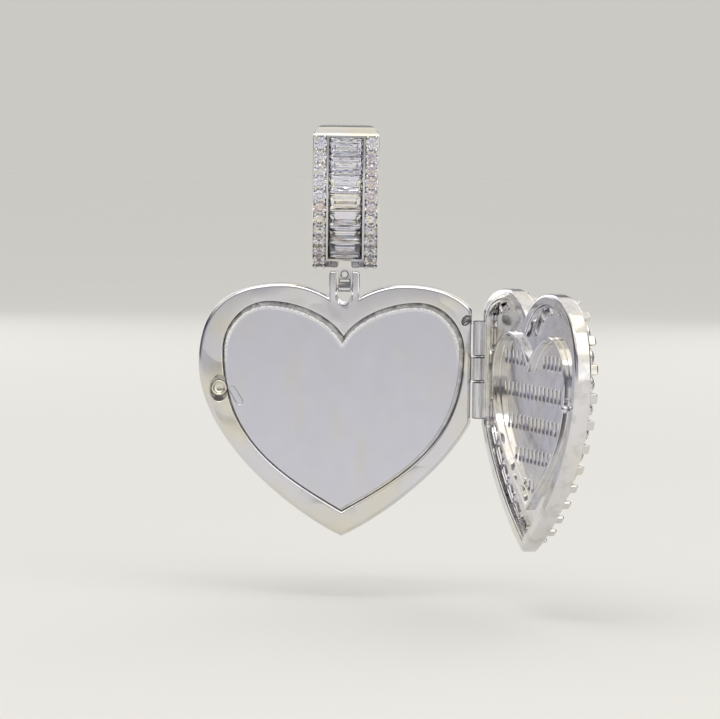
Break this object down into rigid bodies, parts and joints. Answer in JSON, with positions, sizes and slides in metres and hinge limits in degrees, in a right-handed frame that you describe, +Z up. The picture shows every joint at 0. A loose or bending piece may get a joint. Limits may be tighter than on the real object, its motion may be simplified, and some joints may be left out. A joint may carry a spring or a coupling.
{
  "type": "heart photo locket pendant",
  "caption": "Heart-shaped photo locket pendant on a stone-set bail, with a hinged stone-set lid that opens over a photo plate.",
  "frame": {"origin": "where the chain bears inside the top of the bail", "axes": "+Z up as the pendant hangs, +X to the wearer's left (right as seen from the front), front face towards -Y"},
  "size_m": [0.0571, 0.0455, 0.061],
  "materials": {
    "polished_rhodium": "rhodium plate over brass, mirror polished",
    "satin_rhodium": "rhodium plate, satin polished with faint mottling",
    "pin_metal": "drawn wire",
    "clear_stone": "clear faceted cubic zirconia"
  },
  "bodies": {
    "bail": {"bail_loop": "polished_rhodium", "bail_baguette_1": "clear_stone", "bail_baguette_2": "clear_stone", "bail_baguette_3": "clear_stone", "bail_baguette_4": "clear_stone", "bail_baguette_5": "clear_stone", "bail_baguette_6": "clear_stone", "bail_baguette_7": "clear_stone", "bail_round_left_01": "clear_stone", "bail_round_left_02": "clear_stone", "bail_round_left_03": "clear_stone", "bail_round_left_04": "clear_stone", "bail_round_left_05": "clear_stone", "bail_round_left_06": "clear_stone", "bail_round_left_07": "clear_stone", "bail_round_left_08": "clear_stone", "bail_round_left_09": "clear_stone", "bail_round_left_10": "clear_stone", "bail_round_left_11": "clear_stone", "bail_round_right_01": "clear_stone", "bail_round_right_02": "clear_stone", "bail_round_right_03": "clear_stone", "bail_round_right_04": "clear_stone", "bail_round_right_05": "clear_stone", "bail_round_right_06": "clear_stone", "bail_round_right_07": "clear_stone", "bail_round_right_08": "clear_stone", "bail_round_right_09": "clear_stone", "bail_round_right_10": "clear_stone", "bail_round_right_11": "clear_stone", "bail_pin": "pin_metal"},
    "link": {"connector_link": "polished_rhodium"},
    "heart": {"back_plate": "polished_rhodium", "photo_plate": "satin_rhodium", "latch_socket": "polished_rhodium", "plate_knuckle": "polished_rhodium", "hinge_pin": "pin_metal", "hanger_pin": "pin_metal"},
    "lid": {"lid_shell": "polished_rhodium", "lid_inner_rim": "polished_rhodium", "latch_peg": "polished_rhodium", "halo_stones": "clear_stone", "lid_stones_upper_left": "clear_stone", "lid_stones_upper_right": "clear_stone", "lid_stones_second": "clear_stone", "lid_stones_third": "clear_stone", "lid_stones_fourth": "clear_stone", "lid_stones_fifth": "clear_stone", "lid_knuckle_upper": "polished_rhodium", "lid_knuckle_lower": "polished_rhodium"}
  },
  "joints": [
    {"name": "link_swing", "type": "hinge", "parent": "bail", "child": "link", "pos_m": [0, 0, -0.0186], "axis": [1, 0, 0], "range_deg": [-38, 34]},
    {"name": "heart_swing", "type": "hinge", "parent": "link", "child": "heart", "pos_m": [0, 0, -0.0225], "axis": [1, 0, 0], "range_deg": [-50, 60]},
    {"name": "lid_hinge", "type": "hinge", "parent": "heart", "child": "lid", "pos_m": [0.0201, -0.0015, -0.0343], "axis": [0, 0, 1], "range_deg": [-107, 73]}
  ]
}
